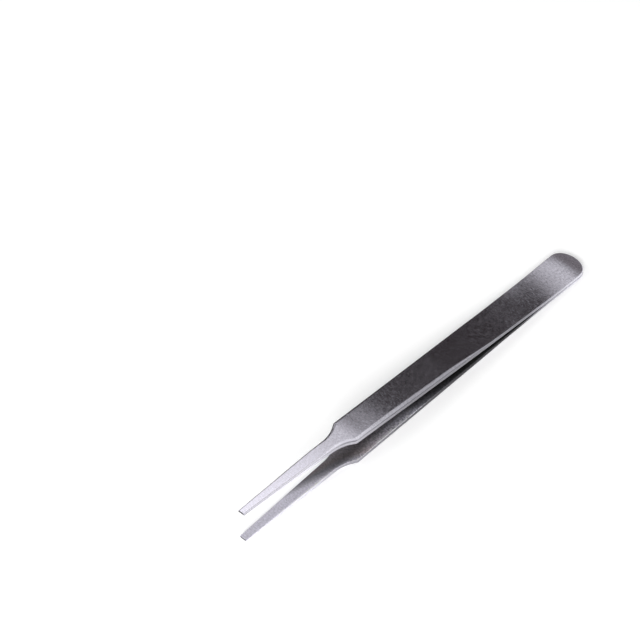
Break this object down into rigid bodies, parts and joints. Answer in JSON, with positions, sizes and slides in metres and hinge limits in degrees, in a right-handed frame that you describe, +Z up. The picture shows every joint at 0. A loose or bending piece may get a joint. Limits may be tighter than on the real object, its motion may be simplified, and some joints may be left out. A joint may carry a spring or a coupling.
{
  "type": "flat-tip tweezers",
  "caption": "Flat-tip precision tweezers: sprung steel arms with slender tapering blades and square ends, spot welded at a rounded butt, for picking up small parts.",
  "frame": {"origin": "under the middle of the part, on the surface it lies on", "axes": "+X from the tips to the butt, +Y across the arms, +Z up; the tweezers lie on the shoulders of the lower arm and on the butt, so the plane between the arms rises 2.9 degrees towards the tips"},
  "size_m": [0.1202, 0.01, 0.0119],
  "materials": {
    "satin_steel": "satin ground stainless steel, brushed across the arms",
    "weld_steel": "dull fused steel"
  },
  "bodies": {
    "butt": {"upper_tang": "satin_steel", "lower_tang": "satin_steel", "front_spot_weld": "weld_steel", "rear_spot_weld": "weld_steel"},
    "upper": {"upper_arm": "satin_steel"},
    "lower": {"lower_arm": "satin_steel"}
  },
  "joints": [
    {"name": "upper_flex", "type": "hinge", "parent": "butt", "child": "upper", "pos_m": [0.03011, 0, 0.00263], "axis": [0, -1, 0], "range_deg": [0, 3.04], "stiffness_Nm_per_rad": 3},
    {"name": "lower_flex", "type": "hinge", "parent": "butt", "child": "lower", "pos_m": [0.03006, 0, 0.00166], "axis": [0, 1, 0], "range_deg": [0, 3.04], "stiffness_Nm_per_rad": 3}
  ],
  "couplings": [
    {"joint": "lower_flex", "follows": "upper_flex", "ratio": 1}
  ]
}
